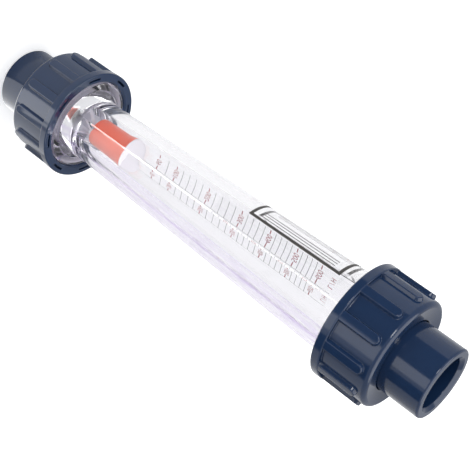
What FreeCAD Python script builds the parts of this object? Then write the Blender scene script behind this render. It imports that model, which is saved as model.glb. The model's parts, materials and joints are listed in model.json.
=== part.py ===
import FreeCAD, Part
import math
import os

# Plastic tube rotameter with a union at each end, in millimetres.
# +Z runs along the flow, from the inlet socket's end face at z = 0 to the outlet's.
# The scale faces -Y, and the tube's flat faces +Y.

# overall
overall_length = 214.0
union_length = 38.4            # from a socket's end face to the rim of its nut

# pipe socket (union tail)
pipe_radius = 10.0
pipe_clearance = 0.1
pipe_depth = 16.0
mouth_chamfer = 1.2
socket_radius = 13.9
socket_edge = 0.8
water_way_radius = 8.5
flange_inset = 0.6             # from the side of the collar in to the side of the flange
flange_thickness = 3.6

# union nut
nut_length = 22.2
nut_wall = 2.5                 # from the bore out to the panels between the ribs
rim_rise = 1.6                 # from the panels up to the rim
rim_width = 3.5
rim_edge = 0.5
shoulder_radius = 1.8
end_wall = 3.2
dish_depth = 0.7
thread_chamfer = 0.7
rib_count = 12
rib_rise = 1.4
rib_width = 3.5
rib_draft = 0.35               # how far each side leans out between the rib's top and its foot
rib_end = 2.9                  # from the closed face to the rib's rounded end
rib_edge = 0.4
pocket_count = 8
pocket_inset = 2.0             # from the bore out to the middle of a pocket
pocket_width = 0.9
pocket_angle = 16.0
pocket_depth = 2.6
pocket_turn = 14.0             # from a rib to the first pocket, degrees
inlet_nut_turn = 5.6
outlet_nut_turn = 9.6

# measuring tube
foot_radius = 12.6             # outside, at the rim of the inlet nut
head_radius = 16.44            # outside, at the rim of the outlet nut
tube_wall = 4.6
flat_half_angle = 27.25        # half of the arc that the flat replaces
collar_step = 1.36             # from the neck at the outlet out to the side of the collar
collar_edge = 0.8
collar_recess = 0.5            # from the rim of a nut down to the collar's shoulder
flare_width = 3.0              # how far the neck stands out from the tube at the inlet collar
flare_length = 4.8
neck_width = 0.8               # the same at the outlet collar
neck_length = 1.4

# stops
seat_wall = 5.6                # from the seat out to the side of the collar
seat_depth = 11.5
stop_ring_wall = 2.4
vane_count = 4
vane_thickness = 1.6
vane_length = 8.0
vane_turn = 20.0
hub_radius = 2.4
hub_tip_radius = 1.5

# float
float_rest = 45.4              # height of the float's lower end at rest
float_length = 19.6
float_foot_inset = 1.3         # from the reading edge in to the foot
float_waist_inset = 0.9        # from the reading edge in to the waist
float_flare = 5.0
float_foot_edge = 1.6
float_wall = 2.0
float_lip = 0.5
plug_thickness = 2.2

# seal
seal_width = 2.8
seal_depth = 2.0

# clearances
thread_gap = 0.3               # between a collar and its nut
tail_gap = 0.4                 # between a socket and the hole in its nut
flange_gap = 0.2               # between a flange and the end wall of its nut
seat_gap = 0.1                 # between a stop and its seat
vane_gap = 0.44                # between a vane and the narrow end of the bore
bore_gap = 1.34                # between the float's reading edge and the bore, at rest
insert_gap = 0.05              # between the float's shell and what it holds
rest_gap = 0.1                 # between the float and the stop under it

# worked out from the above
nut_start = union_length - nut_length
tube_start = nut_start + end_wall + flange_gap + flange_thickness
tube_end = overall_length - tube_start
tube_span = overall_length - 2 * union_length
taper = (head_radius - foot_radius) / tube_span
collar_top = union_length - collar_recess
collar_radius = head_radius + neck_width + collar_step
flange_radius = collar_radius - flange_inset
seat_radius = collar_radius - seat_wall
seal_middle = (seat_radius + flange_radius) / 2
nut_bore_radius = collar_radius + thread_gap
panel_radius = nut_bore_radius + nut_wall
rib_radius = panel_radius + rib_rise
rim_radius = panel_radius + rim_rise
pocket_radius = nut_bore_radius + pocket_inset


def outer_radius(z):
    """Outside radius of the measuring tube at height z."""
    return foot_radius + taper * (z - union_length)


def bore_radius(z):
    """Inside radius of the measuring tube at height z."""
    return outer_radius(z) - tube_wall


# the float hangs on the bore's size at the reading edge
float_head_radius = bore_radius(float_rest + float_length) - bore_gap
float_foot_radius = float_head_radius - float_foot_inset
float_waist_radius = float_head_radius - float_waist_inset


def point(r, z, angle=0.0):
    """A point at radius r and height z, turned about the axis by an angle in degrees."""
    a = math.radians(angle)
    return FreeCAD.Vector(r * math.cos(a), r * math.sin(a), z)


def outline(corners):
    """A closed wire in the XZ plane through (r, z) or (r, z, rounding) corners."""
    count = len(corners)
    ends = []
    for i, corner in enumerate(corners):
        here = point(*corner[:2])
        rounding = corner[2] if len(corner) == 3 else 0.0
        if not rounding:
            ends.append((here, here, None))
            continue
        back = (point(*corners[i - 1][:2]) - here).normalize()
        ahead = (point(*corners[(i + 1) % count][:2]) - here).normalize()
        half = back.getAngle(ahead) / 2
        reach = rounding / math.tan(half)
        centre = here + (back + ahead).normalize() * (rounding / math.sin(half))
        middle = centre + (here - centre).normalize() * rounding
        ends.append((here + back * reach, here + ahead * reach, middle))
    edges = []
    for i, (start, stop, middle) in enumerate(ends):
        if middle is not None:
            edges.append(Part.Arc(start, middle, stop).toShape())
        following = ends[(i + 1) % count][0]
        if stop.distanceToPoint(following) > 1e-6:
            edges.append(Part.LineSegment(stop, following).toShape())
    return Part.Wire(edges)


def turned(corners):
    """A solid of revolution about Z."""
    axis = FreeCAD.Vector(0, 0, 1)
    return Part.Face(outline(corners)).revolve(FreeCAD.Vector(0, 0, 0), axis, 360)


def spun(shape, angle):
    """A copy of shape, turned about Z by an angle in degrees."""
    copy = shape.copy()
    copy.rotate(FreeCAD.Vector(0, 0, 0), FreeCAD.Vector(0, 0, 1), angle)
    return copy


def at_outlet(shape):
    """The same piece turned over and moved to the outlet end."""
    copy = shape.copy()
    copy.rotate(FreeCAD.Vector(0, 0, 0), FreeCAD.Vector(1, 0, 0), 180)
    copy.translate(FreeCAD.Vector(0, 0, overall_length))
    return copy


def pipe_socket():
    """Union tail: a socket for the pipe, with a flange that the nut pulls against the tube."""
    bore = pipe_radius + pipe_clearance
    face = tube_start
    groove_in = seal_middle - seal_width / 2
    groove_out = seal_middle + seal_width / 2
    return turned([
        (bore + mouth_chamfer, 0),
        (socket_radius, 0, socket_edge),
        (socket_radius, face - flange_thickness),
        (flange_radius, face - flange_thickness, socket_edge / 2),
        (flange_radius, face),
        (groove_out, face),
        (groove_out, face - seal_depth),
        (groove_in, face - seal_depth),
        (groove_in, face),
        (water_way_radius, face),
        (water_way_radius, pipe_depth),
        (bore, pipe_depth),
        (bore, mouth_chamfer),
    ])


def seal():
    """O-ring, pressed into its groove."""
    half = seal_width / 2 - insert_gap
    bottom = tube_start - seal_depth
    rounding = 0.4 * seal_depth
    return turned([
        (seal_middle - half, bottom, rounding),
        (seal_middle + half, bottom, rounding),
        (seal_middle + half, tube_start, rounding),
        (seal_middle - half, tube_start, rounding),
    ])


def rib():
    """One grip rib of a nut, with drafted sides and a rounded end, over the X axis."""
    def plan(radius, half_width):
        near = nut_start + rib_end + rib_width / 2 + rib_draft
        far = union_length - rim_width / 2
        left = FreeCAD.Vector(radius, -half_width, near)
        right = FreeCAD.Vector(radius, half_width, near)
        tip = FreeCAD.Vector(radius, 0, near - half_width)
        far_left = FreeCAD.Vector(radius, -half_width, far)
        far_right = FreeCAD.Vector(radius, half_width, far)
        return Part.Wire([
            Part.Arc(left, tip, right).toShape(),
            Part.LineSegment(right, far_right).toShape(),
            Part.LineSegment(far_right, far_left).toShape(),
            Part.LineSegment(far_left, left).toShape(),
        ])

    lean = rib_draft / rib_rise
    low = panel_radius - rib_rise
    high = rib_radius + rib_rise
    half = rib_width / 2
    block = Part.makeLoft([plan(low, half + lean * (rib_radius - low)),
                           plan(high, half - lean * rib_rise)], True, True)
    core = Part.makeCylinder(rib_radius, nut_length, FreeCAD.Vector(0, 0, nut_start))
    block = block.common(core)
    top_edges = [e for e in block.Edges
                 if abs(math.hypot(e.CenterOfMass.x, e.CenterOfMass.y) - rib_radius) < rib_width / 10
                 and e.CenterOfMass.z < union_length - 0.6 * rim_width
                 and all(abs(math.hypot(v.X, v.Y) - rib_radius) < 1e-4 for v in e.Vertexes)]
    return block.makeFillet(rib_edge, top_edges)


def pocket():
    """One shallow arc-shaped pocket in the rim of a nut, over the X axis."""
    inner = pocket_radius - pocket_width / 2
    outer = pocket_radius + pocket_width / 2
    ring = turned([(inner, union_length - pocket_depth), (outer, union_length - pocket_depth),
                   (outer, union_length + 1), (inner, union_length + 1)])
    reach = 2 * rim_radius
    side = math.radians(pocket_angle / 2)
    corner = reach / math.cos(side)
    low = union_length - 2 * pocket_depth
    start = FreeCAD.Vector(0, 0, low)
    left = FreeCAD.Vector(corner * math.cos(side), -corner * math.sin(side), low)
    right = FreeCAD.Vector(corner * math.cos(side), corner * math.sin(side), low)
    slice_face = Part.Face(Part.makePolygon([start, left, right, start]))
    return ring.common(slice_face.extrude(FreeCAD.Vector(0, 0, 4 * pocket_depth)))


def union_nut():
    """Grip-ribbed union nut, closed face down."""
    hole = socket_radius + tail_gap
    inner_face = nut_start + end_wall
    panel_top = union_length - rim_width
    body = turned([
        (hole, nut_start + dish_depth),
        (hole + dish_depth, nut_start + dish_depth),
        (panel_radius - shoulder_radius, nut_start),
        (panel_radius, nut_start, shoulder_radius),
        (panel_radius, panel_top, rim_edge / 2),
        (rim_radius, panel_top, rim_edge),
        (rim_radius, union_length, rim_edge),
        (nut_bore_radius + thread_chamfer, union_length),
        (nut_bore_radius, union_length - thread_chamfer),
        (nut_bore_radius, inner_face),
        (hole, inner_face),
    ])
    one_rib = rib()
    ribs = [spun(one_rib, 360 * i / rib_count) for i in range(rib_count)]
    body = body.fuse(ribs)
    bore = Part.makeCylinder(nut_bore_radius, nut_length, FreeCAD.Vector(0, 0, inner_face))
    one_pocket = pocket()
    pockets = [spun(one_pocket, pocket_turn + 360 * i / pocket_count) for i in range(pocket_count)]
    return body.cut([bore] + pockets).removeSplitter()


def tube_section(z):
    """Outline of the tapered tube at height z: an arc closed by the flat that faces +Y."""
    r = outer_radius(z)
    left = point(r, z, 90 + flat_half_angle)
    right = point(r, z, 90 - flat_half_angle)
    front = point(r, z, -90)
    return Part.Wire([Part.Arc(left, front, right).toShape(), Part.LineSegment(right, left).toShape()])


def collar(neck, length):
    """Collar of the tube, in inlet position, with the neck that joins it to the barrel."""
    return turned([
        (0, tube_start),
        (collar_radius, tube_start, collar_edge / 2),
        (collar_radius, collar_top, collar_edge),
        (neck, collar_top),
        (neck - 0.6 * flare_width * length / flare_length, collar_top + 0.4 * length),
        (neck - flare_width * length / flare_length, collar_top + length),
        (0, collar_top + length),
    ])


def measuring_tube():
    """Clear tapered tube with a flat down its back and a threaded collar at each end."""
    barrel = Part.makeLoft([tube_section(collar_top), tube_section(overall_length - collar_top)], True, True)
    inlet_collar = collar(outer_radius(collar_top) + flare_width, flare_length)
    outlet_radius = outer_radius(overall_length - collar_top) + neck_width
    outlet_collar = at_outlet(collar(outlet_radius, neck_length))
    body = barrel.fuse([inlet_collar, outlet_collar])
    bore = turned([(0, tube_start - 1), (bore_radius(tube_start - 1), tube_start - 1),
                   (bore_radius(tube_end + 1), tube_end + 1), (0, tube_end + 1)])
    seat = Part.makeCylinder(seat_radius, seat_depth + 1, FreeCAD.Vector(0, 0, tube_start - 1))
    return body.cut([bore, seat, at_outlet(seat)]).removeSplitter()


def float_stop():
    """Vaned stop: a ring in the tube's end, cross vanes and a hub that the float lands on."""
    outer = seat_radius - seat_gap
    inner = outer - stop_ring_wall
    ring_top = tube_start + seat_depth - seat_gap
    hub_top = float_rest - rest_gap
    vane_reach = bore_radius(ring_top) - vane_gap
    ring = turned([(inner, tube_start), (outer, tube_start), (outer, ring_top, 0.4), (inner, ring_top, 0.4)])
    hub = turned([(0, tube_start), (hub_radius, tube_start, 0.6), (hub_radius, ring_top + vane_length / 2),
                  (hub_tip_radius, hub_top, 0.5), (0, hub_top)])
    middle = inner + stop_ring_wall / 2
    vane_top = ring_top + vane_length
    shape = Part.makePolygon([
        FreeCAD.Vector(0, 0, tube_start), FreeCAD.Vector(middle, 0, tube_start),
        FreeCAD.Vector(middle, 0, ring_top - 1.5), FreeCAD.Vector(vane_reach, 0, ring_top),
        FreeCAD.Vector(vane_reach, 0, ring_top + vane_length / 2), FreeCAD.Vector(hub_radius, 0, vane_top),
        FreeCAD.Vector(0, 0, vane_top), FreeCAD.Vector(0, 0, tube_start),
    ])
    vane = Part.Face(shape).extrude(FreeCAD.Vector(0, vane_thickness, 0))
    vane.translate(FreeCAD.Vector(0, -vane_thickness / 2, 0))
    vanes = [spun(vane, vane_turn + 360 * i / vane_count) for i in range(vane_count)]
    return ring.fuse([hub] + vanes).removeSplitter()


def float_shell():
    """Coloured float casing: slightly tapered, flared at the reading edge, open at the top."""
    bottom = float_rest
    top = float_rest + float_length
    cavity = float_waist_radius - float_wall
    plug_hole = float_head_radius - float_lip
    return turned([
        (0, bottom),
        (float_foot_radius, bottom, float_foot_edge),
        (float_waist_radius, top - float_flare, float_flare),
        (float_head_radius, top - float_lip),
        (float_head_radius, top),
        (plug_hole, top),
        (plug_hole, top - plug_thickness),
        (cavity, top - plug_thickness),
        (cavity, bottom + float_wall),
        (0, bottom + float_wall),
    ])


def float_weight():
    """Metal slug inside the float."""
    radius = float_waist_radius - float_wall - insert_gap
    bottom = float_rest + float_wall
    top = float_rest + float_length - plug_thickness - insert_gap
    return turned([(0, bottom), (radius, bottom, 0.4), (radius, top, 0.4), (0, top)])


def float_plug():
    """Disc that closes the top of the float."""
    radius = float_head_radius - float_lip - insert_gap
    top = float_rest + float_length
    return turned([(0, top - plug_thickness), (radius, top - plug_thickness), (radius, top), (0, top)])


stop = float_stop()
socket = pipe_socket()
ring = seal()
nut = union_nut()
nodes = {
    "measuring_tube": measuring_tube(),
    "inlet_socket": socket,
    "outlet_socket": at_outlet(socket),
    "inlet_seal": ring,
    "outlet_seal": at_outlet(ring),
    "inlet_stop": stop,
    "outlet_stop": at_outlet(stop),
    "inlet_nut": spun(nut, inlet_nut_turn),
    "outlet_nut": spun(at_outlet(nut), outlet_nut_turn),
    "float_shell": float_shell(),
    "float_weight": float_weight(),
    "float_plug": float_plug(),
}

os.makedirs("parts", exist_ok=True)
for name, shape in nodes.items():
    solid = shape.Solids[0] if len(shape.Solids) == 1 else shape
    solid.exportStep(os.path.join("parts", name + ".step"))
    print(name, "valid" if solid.isValid() else "NOT VALID", len(shape.Solids), round(solid.Volume, 1))
travel = overall_length - 2 * float_rest - float_length + rest_gap
print("float travel", round(travel - rest_gap, 3))
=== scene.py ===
import bpy
import bmesh
import json
import math
from mathutils import Matrix, Vector


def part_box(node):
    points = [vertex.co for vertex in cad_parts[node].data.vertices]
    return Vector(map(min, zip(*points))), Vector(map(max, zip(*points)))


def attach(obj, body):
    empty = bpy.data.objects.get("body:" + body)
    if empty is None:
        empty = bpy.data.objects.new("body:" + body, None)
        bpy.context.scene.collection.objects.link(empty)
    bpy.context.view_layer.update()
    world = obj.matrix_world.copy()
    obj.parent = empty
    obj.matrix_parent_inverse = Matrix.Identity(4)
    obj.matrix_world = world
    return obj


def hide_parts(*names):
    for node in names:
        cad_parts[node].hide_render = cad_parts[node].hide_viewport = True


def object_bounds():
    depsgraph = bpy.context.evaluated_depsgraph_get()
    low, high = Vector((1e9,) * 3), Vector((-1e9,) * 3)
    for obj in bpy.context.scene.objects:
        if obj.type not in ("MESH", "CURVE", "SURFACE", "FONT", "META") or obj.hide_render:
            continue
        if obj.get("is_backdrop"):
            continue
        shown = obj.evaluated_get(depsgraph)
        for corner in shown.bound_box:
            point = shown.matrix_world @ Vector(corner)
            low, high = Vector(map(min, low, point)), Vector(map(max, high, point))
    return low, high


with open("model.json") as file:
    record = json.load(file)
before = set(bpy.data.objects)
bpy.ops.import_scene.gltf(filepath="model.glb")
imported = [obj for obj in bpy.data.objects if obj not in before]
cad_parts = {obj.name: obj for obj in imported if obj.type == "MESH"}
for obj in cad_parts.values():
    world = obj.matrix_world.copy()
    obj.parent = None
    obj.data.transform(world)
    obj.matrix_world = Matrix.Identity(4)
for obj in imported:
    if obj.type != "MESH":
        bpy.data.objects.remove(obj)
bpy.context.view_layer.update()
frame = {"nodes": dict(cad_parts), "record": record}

mm = 0.001


# shaders

class Wire:                      # a node socket that can be used in sums
    def __init__(self, builder, socket):
        self.builder = builder
        self.socket = socket

    def sum(self, operation, first, second):
        return self.builder.node("ShaderNodeMath", {"operation": operation}, {0: first, 1: second})

    def __add__(self, other):
        return self.sum("ADD", self, other)

    def __radd__(self, other):
        return self.sum("ADD", other, self)

    def __sub__(self, other):
        return self.sum("SUBTRACT", self, other)

    def __rsub__(self, other):
        return self.sum("SUBTRACT", other, self)

    def __mul__(self, other):
        return self.sum("MULTIPLY", self, other)

    def __rmul__(self, other):
        return self.sum("MULTIPLY", other, self)


class Builder:                   # adds nodes to a tree and feeds its main shader
    def __init__(self, tree, shader):
        self.tree = tree
        self.shader = tree.nodes[shader]

    def node(self, kind, settings={}, inputs={}, output=0):    # output: one socket, or a list
        made = self.tree.nodes.new(kind)
        for name, value in settings.items():
            if name == "stops":
                ramp = made.color_ramp.elements
                while len(ramp) < len(value):
                    ramp.new(0.5)
                for stop, (place, colour) in zip(ramp, value):
                    stop.position = place
                    stop.color = colour
            else:
                setattr(made, name, value)
        for name, value in inputs.items():
            if isinstance(value, Wire):
                self.tree.links.new(value.socket, made.inputs[name])
            else:
                made.inputs[name].default_value = value
        if isinstance(output, list):
            return [Wire(self, made.outputs[each]) for each in output]
        return Wire(self, made.outputs[output])

    def feed(self, socket, wire):
        self.tree.links.new(wire.socket, self.shader.inputs[socket])

    def rays(self, *kinds):      # 1 where a ray is of that kind
        return self.node("ShaderNodeLightPath", output=["Is " + kind + " Ray" for kind in kinds])


class Finish(Builder):           # one material, built round a Principled shader
    def __init__(self, name, **constants):
        self.material = bpy.data.materials.new(name)
        self.material.use_nodes = True
        super().__init__(self.material.node_tree, "Principled BSDF")
        for socket, value in constants.items():
            self.shader.inputs[socket.replace("_", " ")].default_value = value

    def places(self):
        return self.node("ShaderNodeTexCoord", output="Object")

    def noise(self, size, detail=2.0):         # size of a patch in millimetres
        return self.node("ShaderNodeTexNoise", {},
                         {"Vector": self.places(), "Scale": 1 / (size * mm), "Detail": detail})

    def ramp(self, wire, stops):               # stops: place and grey level
        stops = [(place, [grey] * 3 + [1]) for place, grey in stops]
        return self.node("ShaderNodeValToRGB", {"stops": stops}, {"Fac": wire})

    def blend(self, factor, first, second):
        return self.node("ShaderNodeMix", {"data_type": "RGBA"}, {0: factor, 6: first, 7: second},
                         output=2)

    def span(self, wire, low, high):           # 0..1 to low..high
        return wire * (high - low) + low

    def bump(self, height, depth, normal=None):       # depth in millimetres
        inputs = {"Height": height, "Distance": depth * mm}
        if normal:
            inputs["Normal"] = normal
        self.feed("Normal", self.node("ShaderNodeBump", {}, inputs))


def rgb(code):                    # a screen colour such as "22355a" as linear light
    parts = [int(code[i:i + 2], 16) / 255 for i in (0, 2, 4)]
    return [c / 12.92 if c < 0.04045 else ((c + 0.055) / 1.055) ** 2.4 for c in parts] + [1]


plainLook = {                     # what the plain finishes share, sizes in millimetres
    "cloudSize": 4.0,             # of the clouds of colour, twice that of the clouds of gloss
    "cloudDetail": 3.0,
    "grainSize": 0.3,
    "grainDepth": 0.003,
}


def plainFinish(name, dark, light, roughLow, roughHigh, cloudSize=plainLook["cloudSize"],
                **constants):
    look = plainLook
    finish = Finish(name, **constants)
    cloud = finish.noise(cloudSize, look["cloudDetail"])
    finish.feed("Base Color", finish.blend(cloud, rgb(dark), rgb(light)))
    gloss = finish.noise(cloudSize / 2, look["cloudDetail"])
    finish.feed("Roughness", finish.span(gloss, roughLow, roughHigh))
    finish.bump(finish.noise(look["grainSize"]), look["grainDepth"])
    return finish.material


fittingLook = {
    "deep": "172c4b",
    "pale": "1c3253",
    "cloudSize": 9.0,             # sizes and depths in millimetres
    "cloudDetail": 3.0,
    "glossSize": 3.0,
    "glossDetail": 4.0,
    "grainSize": 0.35,
    "grainDepth": 0.004,
    "rough": (0.09, 0.15),
    "ior": 1.5,
    "edge": 0.35 * mm,            # radius that the corners are softened to
    "edgeSamples": 6,
}


def fittingFinish():
    look = fittingLook
    finish = Finish("blueMoulding", IOR=look["ior"])
    cloud = finish.noise(look["cloudSize"], look["cloudDetail"])
    grain = finish.noise(look["grainSize"])
    finish.feed("Base Color", finish.blend(cloud, rgb(look["deep"]), rgb(look["pale"])))
    gloss = finish.noise(look["glossSize"], look["glossDetail"])
    finish.feed("Roughness", finish.span(gloss, *look["rough"]))
    rounded = finish.node("ShaderNodeBevel", {"samples": look["edgeSamples"]},
                          {"Radius": look["edge"]})
    finish.bump(grain, look["grainDepth"], normal=rounded)
    return finish.material


tubeLook = {
    "colour": (0.95, 0.945, 0.962, 1),
    "paintedStreak": (0.65, 0.56, 0.82, 1),       # painted reflections: violet streaks beside the flat, towards the tube's edge
    "streakSide": (108, 114, 146, 156),    # degrees: none, full, full, none
    "streakWidth": 1.2,                    # degrees
    "streakLength": 12.0 * mm,
    "streakEdge": (0.47, 0.56),            # level of the noise where a streak starts and is full
    "line": (0.44, 0.24, 0.76, 1),         # painted reflections: the longest of the painted marks, as lines along the tube
    "paintedLines": {117.3: 1.0, 126.0: 0.5, 141.0: 0.9, 148.0: 0.9},     # degrees and strength
    "lineWidth": 0.7,             # degrees, and as much again on each side to fade
    "shadow": (0.76, 0.76, 0.78, 1),
    "ior": 1.56,
    "ridgeIor": 2.3,              # the polished ridge catches more light
    "rough": 0.01,
}


def tubeFinish(name, ior):
    look = tubeLook
    finish = Finish(name, IOR=ior, Roughness=look["rough"], Transmission_Weight=1.0)
    x, y, z = finish.node("ShaderNodeSeparateXYZ", {}, {"Vector": finish.places()},
                          output=["X", "Y", "Z"])
    turn = finish.node("ShaderNodeMath", {"operation": "ARCTAN2"}, {0: y, 1: x}) * math.degrees(1)
    # painted reflections: violet streaks, from noise stretched along the tube, beside the flat
    along = finish.node("ShaderNodeCombineXYZ", {}, {"X": turn * (1 / look["streakWidth"]),
                                                     "Z": z * (1 / look["streakLength"])})
    paintedStreak = finish.node("ShaderNodeTexNoise", {}, {"Vector": along, "Scale": 1.0})
    paintedStreak = finish.ramp(paintedStreak, zip(look["streakEdge"], (0, 1)))
    once = turn * (1 / 360)       # 0 to 1 once round the tube
    side = finish.ramp(once, [(degrees / 360, share) for degrees, share in
                              zip(look["streakSide"], (0, 1, 1, 0))])
    # painted reflections: thin violet lines at the given angles round the tube
    stops = []
    for degrees, strength in look["paintedLines"].items():
        # how far from the line's middle, in widths of the line, and how strong it is there
        for widths, share in ((-1.5, 0), (-0.5, strength), (0.5, strength), (1.5, 0)):
            stops.append(((degrees + widths * look["lineWidth"]) / 360, share))
    paintedLines = finish.ramp(once, stops)
    # the painted reflection streaks and lines are mixed into the tube's base colour
    withPaintedStreaks = finish.blend(paintedStreak * side, look["colour"], look["paintedStreak"])
    finish.feed("Base Color", finish.blend(paintedLines, withPaintedStreaks, look["line"]))
    shadowRay = finish.rays("Shadow")[0]
    through = finish.node("ShaderNodeBsdfTransparent", {}, {"Color": look["shadow"]})
    glass = Wire(finish, finish.shader.outputs[0])
    shown = finish.node("ShaderNodeMixShader", {}, {0: shadowRay, 1: glass, 2: through})
    surface = finish.tree.nodes["Material Output"].inputs["Surface"]
    finish.tree.links.new(shown.socket, surface)
    return finish.material


threadLook = {
    "colour": (0.76, 0.74, 0.83, 1),
    "rough": (0.45, 0.65),
    "glossSize": 1.5,             # millimetres
    "clear": 0.05,
}


def threadFinish():               # the threads scatter the light
    look = threadLook
    finish = Finish("clearThread", IOR=tubeLook["ior"], Base_Color=look["colour"],
                    Transmission_Weight=look["clear"])
    finish.feed("Roughness", finish.span(finish.noise(look["glossSize"]), *look["rough"]))
    return finish.material


floatLook = {
    "deep": "d84208",
    "pale": "e0480a",
    "cap": "dbd8db",
    "capHeight": 0.45 * mm,       # of the white lip round the plug
    "glossSize": 2.0,             # millimetres
    "rough": (0.25, 0.34),
}


def floatFinish():
    look, grain = floatLook, plainLook
    finish = Finish("floatMoulding")
    cloud = finish.noise(grain["cloudSize"], grain["cloudDetail"])
    body = finish.blend(cloud, rgb(look["deep"]), rgb(look["pale"]))
    height = finish.node("ShaderNodeSeparateXYZ", {}, {"Vector": finish.places()}, output="Z")
    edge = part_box("float_shell")[1].z - look["capHeight"]
    lip = finish.node("ShaderNodeMath", {"operation": "GREATER_THAN"}, {0: height, 1: edge})
    finish.feed("Base Color", finish.blend(lip, body, rgb(look["cap"])))
    gloss = finish.noise(look["glossSize"], grain["cloudDetail"])
    finish.feed("Roughness", finish.span(gloss, *look["rough"]))
    finish.bump(finish.noise(grain["grainSize"]), grain["grainDepth"])
    return finish.material


finishes = {                      # plain ones: dark and light colour, least and most roughness
    "blue_fitting": fittingFinish(),
    "clear_tube": tubeFinish("clearMoulding", tubeLook["ior"]),
    "clear_ridge": tubeFinish("clearRidge", tubeLook["ridgeIor"]),
    "clear_thread": threadFinish(),
    "stop_plastic": plainFinish("stopMoulding", "c9c9d2", "d6d6dd", 0.35, 0.45),
    "seal_rubber": plainFinish("sealRubber", "9a99a3", "a6a5ae", 0.55, 0.7),
    "float_orange": floatFinish(),
    "float_metal": plainFinish("turnedSteel", "b4b6ba", "c2c4c8", 0.3, 0.4, Metallic=1.0),
    "plug_white": plainFinish("plugMoulding", "dcd9dc", "e1dee1", 0.4, 0.5),
    "red_ink": plainFinish("redInk", "a3202c", "ae2a34", 0.45, 0.55, cloudSize=1.0),
    "grey_ink": plainFinish("greyInk", "5c5659", "676164", 0.45, 0.55, cloudSize=1.0),
    "dark_ink": plainFinish("darkInk", "3a3735", "45423f", 0.4, 0.5, cloudSize=1.5),
}
for subpart in frame["record"]["subparts"]:
    node = frame["nodes"][subpart["node"]]
    node.data.materials.clear()
    node.data.materials.append(finishes[subpart["material_slot"]])
print("finishes ready")


# meshes

def finished(bm, name, body, slot, crease=32.0):   # a piece that rides on a body; crease: degrees
    for face in bm.faces:
        face.smooth = True
    for edge in bm.edges:
        sharp = edge.is_manifold and edge.calc_face_angle() > math.radians(crease)
        edge.smooth = not sharp
    mesh = bpy.data.meshes.new(name)
    bm.to_mesh(mesh)
    bm.free()
    mesh.materials.append(finishes[slot])
    piece = bpy.data.objects.new(name, mesh)
    bpy.context.scene.collection.objects.link(piece)
    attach(piece, body)
    return piece


def polar(radius, degrees, z):
    turn = math.radians(degrees)
    return Vector((radius * math.cos(turn), radius * math.sin(turn), z))


# measuring tube

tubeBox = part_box("measuring_tube")
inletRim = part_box("inlet_nut")[1].z
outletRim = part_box("outlet_nut")[0].z
tubeSizes = {
    "footRadius": 12.6 * mm,      # outside, at the rim of the inlet nut
    "headRadius": 16.44 * mm,     # outside, at the rim of the outlet nut
    "wall": 4.6 * mm,
    "flats": ((90, 27.25), (270, 27.25)),   # which way each faces, and half of the arc it replaces
    "flatColumns": 16,
    "arcColumns": 78,
    "barrelRings": 12,
    "barrelGap": 0.4 * mm,        # from a neck to where the flats start
    "ridgeColumn": 5.0,           # degrees kept free beside a ridge for its chamfer
    "ridgeChamfer": 0.3 * mm,
    "crease": 13.0,               # degrees
    "inletNeck": (3.0 * mm, 4.8 * mm),      # how far it stands out, and its length
    "outletNeck": (0.8 * mm, 1.4 * mm),
    "neckCurve": 1.6,             # 1 is a straight cone
    "neckRings": 8,
    "collarEdge": 0.8 * mm,       # radius of a collar's shoulder
    "edgeRings": 9,
    "collarRecess": 0.5 * mm,     # from the nut's rim to the collar's shoulder
    "collarEase": 0.1 * mm,       # how much smaller the collar is where its thread stops
    "seatWall": 5.6 * mm,         # round the stop's seat
    "seatDepth": 11.5 * mm,
    "threadPitch": 2.6 * mm,
    "threadDepth": 0.9 * mm,
    "threadRings": 12,            # rings of vertices in one pitch
    "threadStart": 0.5,           # from the end face, in collar edges
    "threadStop": (1.6, 1.4),     # from the shoulder: where the root ends and the collar starts
    "threadFlank": (2.6, 0.8),    # steepness of the flanks, and how much of them the root hides
}


def barrelRadius(z):
    share = (z - inletRim) / (outletRim - inletRim)
    return tubeSizes["footRadius"] + share * (tubeSizes["headRadius"] - tubeSizes["footRadius"])


def columnAngles():               # where the tube's columns of vertices stand, in degrees
    sizes = tubeSizes
    angles = []
    (front, frontHalf), (back, backHalf) = sizes["flats"]
    corners = [front - frontHalf, front + frontHalf, back - backHalf, back + backHalf,
               front - frontHalf + 360]
    for i, (start, stop) in enumerate(zip(corners, corners[1:])):
        columns = sizes["arcColumns"] if i % 2 else sizes["flatColumns"]
        first, last = start + sizes["ridgeColumn"], stop - sizes["ridgeColumn"]
        angles.append(start)
        angles += [first + (last - first) * step / columns for step in range(columns + 1)]
    return angles


def flattened(radius, degrees, share=1.0):    # radius cut down where one of the flats is
    for middle, half in tubeSizes["flats"]:
        turn = (degrees - middle + 180) % 360 - 180
        if abs(turn) <= half:
            flat = radius * math.cos(math.radians(half)) / math.cos(math.radians(turn))
            return radius + share * (flat - radius)
    return radius


def threadRise(z, degrees, start, stop):   # 0 at the root, 1 at the crest, fading at both ends
    pitch = tubeSizes["threadPitch"]
    steepness, hidden = tubeSizes["threadFlank"]
    phase = ((z - start) / pitch - degrees / 360) % 1
    tooth = min(1, max(0, steepness * abs(2 * phase - 1) - hidden))
    ends = min(1, (z - start) / pitch, (stop - z) / pitch)
    return tooth * max(0, ends)


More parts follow.
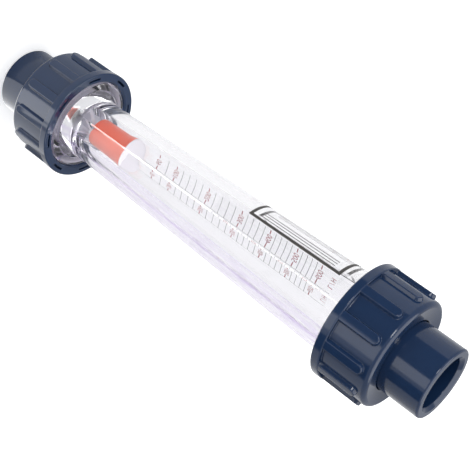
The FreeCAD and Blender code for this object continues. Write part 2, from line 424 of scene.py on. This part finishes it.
def makeTube():
    sizes = tubeSizes
    low, high = tubeBox[0].z, tubeBox[1].z
    collar = tubeBox[1].x
    core = collar - sizes["threadDepth"]
    seat = collar - sizes["seatWall"]
    edge = sizes["collarEdge"]
    ease = sizes["collarEase"]
    stopRoot, stopCollar = sizes["threadStop"]
    angles = columnAngles()
    stations = []                 # height, radius, share of the flat, heights the thread spans

    def collarStations(face, shoulder, neck):      # end face, thread and shoulder of one collar
        way = 1 if shoulder > face else -1
        chamfer = sizes["threadStart"] * edge
        stations.append((face, seat, 0, None))
        stations.append((face, core - chamfer, 0, None))
        first = face + way * chamfer
        last = shoulder - way * stopRoot * edge
        thread = (min(first, last), max(first, last))
        count = round(abs(last - first) / sizes["threadPitch"] * sizes["threadRings"])
        for i in range(count + 1):
            stations.append((first + (last - first) * i / count, core, 0, thread))
        stations.append((shoulder - way * stopCollar * edge, collar - ease, 0, None))
        for i in range(sizes["edgeRings"] + 1):
            turn = math.radians(90 * i / sizes["edgeRings"])
            stations.append((shoulder - way * edge * (1 - math.sin(turn)),
                             collar - edge * (1 - math.cos(turn)), 0, None))
        width, length = neck
        base = barrelRadius(shoulder)
        for i in range(sizes["neckRings"] + 1):
            share = i / sizes["neckRings"]
            stations.append((shoulder + way * length * share,
                             base + width * (1 - share) ** sizes["neckCurve"], 0, None))

    inletShoulder = inletRim - sizes["collarRecess"]
    outletShoulder = outletRim + sizes["collarRecess"]
    collarStations(low, inletShoulder, sizes["inletNeck"])
    flatStart = inletShoulder + sizes["inletNeck"][1] + sizes["barrelGap"]
    flatEnd = outletShoulder - sizes["outletNeck"][1] - sizes["barrelGap"]
    for i in range(sizes["barrelRings"] + 1):
        z = flatStart + (flatEnd - flatStart) * i / sizes["barrelRings"]
        stations.append((z, barrelRadius(z), 1, None))
    mark = len(stations)
    collarStations(high, outletShoulder, sizes["outletNeck"])
    stations[mark:] = reversed(stations[mark:])
    for face, way in ((high, -1), (low, 1)):       # down the outlet's seat, then to the inlet's
        step = face + way * sizes["seatDepth"]
        bore = barrelRadius(step) - sizes["wall"]
        pair = [(step, seat, 0, None), (step, bore, 0, None)]
        stations += pair if way < 0 else reversed(pair)

    bm = bmesh.new()
    tag = bm.verts.layers.int.new("station")
    chain = []
    for i, (z, radius, share, thread) in enumerate(stations):
        chain.append(bm.verts.new((radius, 0, z)))
        chain[-1][tag] = i
    edges = [bm.edges.new(pair) for pair in zip(chain, chain[1:] + chain[:1])]
    bmesh.ops.spin(bm, geom=chain + edges, cent=(0, 0, 0), axis=(0, 0, 1), angle=2 * math.pi,
                   steps=len(angles), use_merge=True)
    for vert in bm.verts:         # even steps to the columns' own angles, with flats and threads
        z, radius, share, thread = stations[vert[tag]]
        turn = math.degrees(math.atan2(vert.co.y, vert.co.x)) % 360
        degrees = angles[round(turn / 360 * len(angles)) % len(angles)]
        rise = threadRise(z, degrees, *thread) * sizes["threadDepth"] if thread else 0
        vert.co = polar(flattened(radius, degrees, share) + rise, degrees, z)
    bmesh.ops.recalc_face_normals(bm, faces=bm.faces)

    half = math.radians(sizes["flats"][0][1])
    near, nearTurn, shortest = 0.001 * mm, 0.0001, 0.1 * mm     # the middle one in radians

    def onRidge(place):
        return (abs(abs(math.atan2(place.x, place.y)) - half) < nearTurn
                and flatStart - near < place.z < flatEnd + near
                and abs(place.xy.length - barrelRadius(place.z)) < near)

    ridges = []
    for side in bm.edges:
        a, b = (vert.co for vert in side.verts)
        if onRidge(a) and onRidge(b) and abs(a.z - b.z) > shortest:
            ridges.append(side)
    chamfers = bmesh.ops.bevel(bm, geom=ridges, offset=sizes["ridgeChamfer"], affect="EDGES",
                               segments=1, profile=0.5, material=-1)["faces"]

    plain, matt, polished = range(3)      # places of the tube's materials
    threadEnd = (stopRoot + stopCollar) / 2 * edge
    for face in bm.faces:         # the tools that cut threads and seats leave their walls matt
        middle = face.calc_center_median()
        out = middle.xy.length
        betweenThreads = inletShoulder - threadEnd < middle.z < outletShoulder + threadEnd
        onThread = out > core - ease and not betweenThreads
        onSeat = abs(out - seat) < ease and not inletShoulder < middle.z < outletShoulder
        face.material_index = matt if onThread or onSeat else plain
    for face in chamfers:         # one ridge is polished, the other is as moulded
        face.material_index = polished if face.calc_center_median().x > 0 else plain
    piece = finished(bm, "measuringTube", "meter", "clear_tube", sizes["crease"])
    piece.data.materials.append(finishes["clear_thread"])
    piece.data.materials.append(finishes["clear_ridge"])
    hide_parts("measuring_tube")


makeTube()
print("measuring tube ready")


# print on the tube

scalePrint = {
    "lift": 0.015 * mm,           # off the tube's surface
    "thickness": 0.02 * mm,
    "lineAngle": -105.5,          # degrees, of the long line left of the scale
    "tickEnd": -60.5,
    "numberAngle": -83.6,
    "lineStart": 58.6 * mm,
    "lineEnd": 159.0 * mm,
    "lineWidth": 0.25 * mm,
    "widthAt": 100 * mm,          # height where that width is measured
    "tickWidth": 0.22 * mm,
    "dashWidth": 0.45 * mm,
    "dashArc": 11.0,
    "dashGap": 1,                 # degrees from the long line
    "digitHeight": 2.5 * mm,
    "unitHeight": 157.9 * mm,
    "unitSpacing": 1.35,
    # litres an hour, and millimetres up the tube
    "marks": {60: 70.1, 80: 74.8, 100: 79.3, 200: 96.3, 300: 113.1, 400: 127.2, 500: 140.2,
              600: 151.7},
    "unnumbered": (80,),
    "fineStep": 100,              # numbers this far apart have finer ticks between them
    "fineParts": 5,
    "arcStep": 2.5,               # degrees, the longest step of a printed block round the tube
    "letterStep": 0.3 * mm,       # the same for a letter
    "capitals": 0.72,             # height of a capital as a share of the font's size
    "closest": 0.0001 * mm,       # letters' points nearer than this are merged
}


def wrapped(bm, lift):            # x is degrees round the tube, y height, z thickness
    for vert in bm.verts:
        degrees, height, rise = vert.co
        vert.co = polar(flattened(barrelRadius(height), degrees) + lift + rise, degrees, height)


def block(bm, fromAngle, toAngle, low, high):
    # closed and thin, over a span of angle and height, cut finely enough to follow the tube
    steps = max(1, math.ceil(abs(toAngle - fromAngle) / scalePrint["arcStep"]))
    made = bmesh.ops.create_grid(bm, x_segments=steps, y_segments=1, size=0.5)["verts"]
    for vert in made:
        vert.co.x = fromAngle + (vert.co.x + 0.5) * (toAngle - fromAngle)
        vert.co.y = low + (vert.co.y + 0.5) * (high - low)
    faces = {face for vert in made for face in vert.link_faces}
    grown = bmesh.ops.extrude_face_region(bm, geom=list(faces), use_keep_orig=True)["geom"]
    for vert in grown:
        if isinstance(vert, bmesh.types.BMVert):
            vert.co.z += scalePrint["thickness"]


def printed(bm, name, slot):
    wrapped(bm, scalePrint["lift"])
    bmesh.ops.recalc_face_normals(bm, faces=bm.faces)
    return finished(bm, name, "meter", slot)


def degreesWide(width, z):
    return math.degrees(width / barrelRadius(z))


def lettering(bm, words, angle, z, spacing=1.0):
    sizes = scalePrint
    curve = bpy.data.curves.new("lettering", "FONT")
    curve.body = words
    curve.size = sizes["digitHeight"] / sizes["capitals"]
    curve.space_character = spacing
    curve.align_x = "CENTER"
    curve.align_y = "CENTER"
    curve.extrude = sizes["thickness"] / 2
    holder = bpy.data.objects.new("lettering", curve)
    bpy.context.scene.collection.objects.link(holder)
    bpy.context.view_layer.update()
    ready = holder.evaluated_get(bpy.context.evaluated_depsgraph_get())
    flat = bpy.data.meshes.new_from_object(ready)
    letters = bmesh.new()
    letters.from_mesh(flat)
    bmesh.ops.remove_doubles(letters, verts=letters.verts, dist=sizes["closest"])
    reach = max(abs(vert.co.x) for vert in letters.verts)
    step = sizes["letterStep"]
    for i in range(-int(reach / step), int(reach / step) + 1):
        everything = letters.verts[:] + letters.edges[:] + letters.faces[:]
        bmesh.ops.bisect_plane(letters, geom=everything, plane_co=(i * step, 0, 0),
                               plane_no=(1, 0, 0))
    for vert in letters.verts:
        vert.co.x = angle + degreesWide(vert.co.x, z)
        vert.co.y += z
        vert.co.z += sizes["thickness"] / 2
    joined = bpy.data.meshes.new("joined")
    letters.to_mesh(joined)
    letters.free()
    bm.from_mesh(joined)
    for left in (flat, joined):
        bpy.data.meshes.remove(left)
    bpy.data.objects.remove(holder)
    bpy.data.curves.remove(curve)


def makeScale():
    sizes = scalePrint
    marks = sizes["marks"]
    grey, red = bmesh.new(), bmesh.new()
    line, tickEnd = sizes["lineAngle"], sizes["tickEnd"]
    side = degreesWide(sizes["lineWidth"] / 2, sizes["widthAt"])
    block(grey, line - side, line + side, sizes["lineStart"], sizes["lineEnd"])

    def tick(bm, fromAngle, toAngle, z, width):
        block(bm, fromAngle, toAngle, z - width / 2, z + width / 2)

    values = sorted(marks)
    for value in values:
        z = marks[value] * mm
        if value in sizes["unnumbered"]:
            tick(grey, line, tickEnd, z, sizes["tickWidth"])
            continue
        lettering(red, str(value), sizes["numberAngle"], z)
        for start in (line + sizes["dashGap"], tickEnd - sizes["dashArc"]):
            tick(red, start, start + sizes["dashArc"], z, sizes["dashWidth"])
    for first, second in zip(values, values[1:]):
        if second - first == sizes["fineStep"]:
            for i in range(1, sizes["fineParts"]):
                rise = (marks[second] - marks[first]) * i / sizes["fineParts"]
                tick(grey, line, tickEnd, (marks[first] + rise) * mm, sizes["tickWidth"])
    lettering(red, "L/H", sizes["numberAngle"], sizes["unitHeight"], sizes["unitSpacing"])
    printed(grey, "scaleLines", "grey_ink")
    printed(red, "scaleNumbers", "red_ink")


noticePrint = {
    "left": -51.8,                # degrees
    "right": 32.7,
    "low": 125.0 * mm,
    "high": 167.0 * mm,
    "line": 1.3 * mm,             # width of the frame's line
    "ruleWidth": 0.35 * mm,
    "ruleAngles": (14, 19, 24, -34, -39, -44),
    "ruleSpan": (129 * mm, 163 * mm),
}


def makeNotice():
    sizes = noticePrint
    left, right, low, high = (sizes[side] for side in ("left", "right", "low", "high"))
    line = sizes["line"]
    middle = (low + high) / 2
    side = degreesWide(line, middle)
    bm = bmesh.new()
    block(bm, left, right, low, low + line)
    block(bm, left, right, high - line, high)
    block(bm, left, left + side, low + line, high - line)
    block(bm, right - side, right, low + line, high - line)
    printed(bm, "noticeFrame", "dark_ink")
    bm = bmesh.new()
    half = degreesWide(sizes["ruleWidth"] / 2, middle)
    for angle in sizes["ruleAngles"]:
        block(bm, angle - half, angle + half, *sizes["ruleSpan"])
    printed(bm, "noticeRules", "grey_ink")


makeScale()
makeNotice()
print("print ready")


# camera, floor and lights

cameraView = {
    "place": (0.147093, 0.335642, 0.302489),
    "pan": 66.2,                  # degrees, as are the next two
    "above": 26.526,
    "roll": 126.294,
    "lens": 85.61,
    "sensor": 36.0,
    "clipStart": 0.01,
}


def makeCamera():
    view = cameraView
    pan, above, roll = (math.radians(view[k]) for k in ("pan", "above", "roll"))
    back = Vector((math.cos(above) * math.cos(pan), math.cos(above) * math.sin(pan),
                   math.sin(above)))
    level = Vector((0, 0, 1)).cross(back).normalized()
    right = Matrix.Rotation(roll, 3, back) @ level
    turn = Matrix((right, back.cross(right), back)).transposed().to_4x4()
    camera = bpy.data.objects.new("camera", bpy.data.cameras.new("camera"))
    camera.data.lens = view["lens"]
    camera.data.sensor_width = view["sensor"]
    camera.data.clip_start = view["clipStart"]
    camera.matrix_world = Matrix.Translation(view["place"]) @ turn
    bpy.context.scene.collection.objects.link(camera)
    bpy.context.scene.camera = camera


floorLook = {
    "size": 8.0,
    "cells": 4,
    "colour": (0.88, 0.88, 0.88, 1),
    "rough": 0.6,
    "glow": 0.5,                  # added where the camera sees it
    "glassGlow": 0.05,            # added where glass and gloss see it
}
cards = {
    # areas of the floor that only glossy rays see: the fittings' pale and dark reflections
    # name: (from and to in degrees, inner and outer radius, brightness)
    "footGrey": (84, 175, 0.012, 0.036, 2.6),
    "nearPale": (80, 105, 0.037, 0.2, 4.2),
    "floatPale": (107.5, 113.4, 0.05, 0.105, 3.6),
    "nearSlate": (120, 170, 0.037, 0.12, 2.0),
    "nearDark": (0, 78, 0.02, 0.2, 1.0),
    "farPale": (78, 106, 0.2, 2.0, 2.0),
    "farDarkLeft": (0, 76, 0.2, 2.0, 0.15),
    "farDarkRight": (117, 150, 0.2, 2.0, 0.05),
    "farGrey": (150, 200, 0.2, 2.0, 0.8),
}
cardSizes = {"lift": 0.1 * mm, "steps": 24}
ceiling = {                       # a soft panel overhead, seen in gloss and through glass
    "height": 1.2,
    "radius": 0.9,
    "corners": 48,
    "brightness": 2.6,
}


def stagePiece(bm, name, finish):
    mesh = bpy.data.meshes.new(name)
    bm.to_mesh(mesh)
    bm.free()
    mesh.materials.append(finish.material)
    piece = bpy.data.objects.new(name, mesh)
    bpy.context.scene.collection.objects.link(piece)
    piece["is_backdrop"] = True
    return piece


def makeFloor():
    look = floorLook
    finish = Finish("paleFloor", Base_Color=look["colour"], Roughness=look["rough"],
                    Specular_IOR_Level=0.0, Emission_Color=(1, 1, 1, 1))
    camera, gloss, glass = finish.rays("Camera", "Glossy", "Transmission")
    finish.feed("Emission Strength", camera * look["glow"] + (gloss + glass) * look["glassGlow"])
    bm = bmesh.new()
    cells = look["cells"]
    bmesh.ops.create_grid(bm, x_segments=cells, y_segments=cells, size=look["size"] / 2)
    stagePiece(bm, "floor", finish)


def glossCard(bm, name, brightness, throughGlass=False):
    finish = Finish(name, Base_Color=(0, 0, 0, 1), Specular_IOR_Level=0.0,
                    Emission_Color=(1, 1, 1, 1), Emission_Strength=brightness)
    card = stagePiece(bm, name, finish)
    card.visible_camera = card.visible_diffuse = card.visible_shadow = False
    card.visible_transmission = throughGlass


def makeCards():
    for name, (start, stop, inner, outer, brightness) in cards.items():
        bm = bmesh.new()
        ends = [bm.verts.new(polar(radius, start, cardSizes["lift"])) for radius in (inner, outer)]
        side = bm.edges.new(ends)
        bmesh.ops.spin(bm, geom=ends + [side], cent=(0, 0, 0), axis=(0, 0, 1),
                       angle=math.radians(stop - start), steps=cardSizes["steps"])
        glossCard(bm, name, brightness)
    bm = bmesh.new()
    bmesh.ops.create_circle(bm, cap_ends=True, segments=ceiling["corners"],
                            radius=ceiling["radius"])
    bmesh.ops.translate(bm, vec=(0, 0, ceiling["height"]), verts=bm.verts)
    glossCard(bm, "ceilingPanel", ceiling["brightness"], throughGlass=True)


lamps = {
    # name: (direction round the object and height above level in degrees, distance, size,
    #        power, seen in gloss)
    "overhead": (30, 70, 1.4, (0.9, 0.9), 7.0, True),
    "besideCamera": (45, 14, 1.3, (0.35, 0.5), 4.0, True),
    "behind": (235, 32, 1.3, (0.7, 0.5), 5.0, False),
}
sky = {
    "colour": (0.97, 0.98, 1.0, 1),
    "strength": 0.55,
    "glow": 0.45,                 # added where the camera sees it
    "glassGlow": 0.25,            # added where glass sees it
    "glossGlow": 0.05,            # added where gloss sees it
    "bounces": 64,                # enough for light to find its way through the thick clear wall
}


def around(direction, above, distance, middle):
    turn, rise = math.radians(direction), math.radians(above)
    return middle + distance * Vector((math.cos(turn) * math.cos(rise),
                                       math.sin(turn) * math.cos(rise), math.sin(rise)))


def makeLamps():
    low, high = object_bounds()
    middle = (low + high) / 2
    for name, (direction, above, distance, size, power, inGloss) in lamps.items():
        lamp = bpy.data.lights.new(name, "AREA")
        lamp.shape = "RECTANGLE"
        lamp.size, lamp.size_y = size
        lamp.energy = power
        holder = bpy.data.objects.new(name, lamp)
        holder.location = around(direction, above, distance, middle)
        holder.rotation_mode = "QUATERNION"
        holder.rotation_quaternion = (middle - holder.location).to_track_quat("-Z", "Y")
        holder.visible_camera = False
        holder.visible_glossy = inGloss
        bpy.context.scene.collection.objects.link(holder)


def makeSky():
    world = bpy.data.worlds.new("studio")
    bpy.context.scene.world = world
    world.use_nodes = True
    background = Builder(world.node_tree, "Background")
    background.shader.inputs["Color"].default_value = sky["colour"]
    camera, gloss, glass = background.rays("Camera", "Glossy", "Transmission")
    background.feed("Strength", camera * sky["glow"] + gloss * sky["glossGlow"]
                    + glass * sky["glassGlow"] + sky["strength"])
    paths = bpy.context.scene.cycles
    paths.max_bounces = paths.transmission_bounces = paths.glossy_bounces = sky["bounces"]
    bpy.context.scene.view_settings.view_transform = "Standard"


makeCamera()
makeFloor()
makeCards()
makeLamps()
makeSky()
print("stage ready")
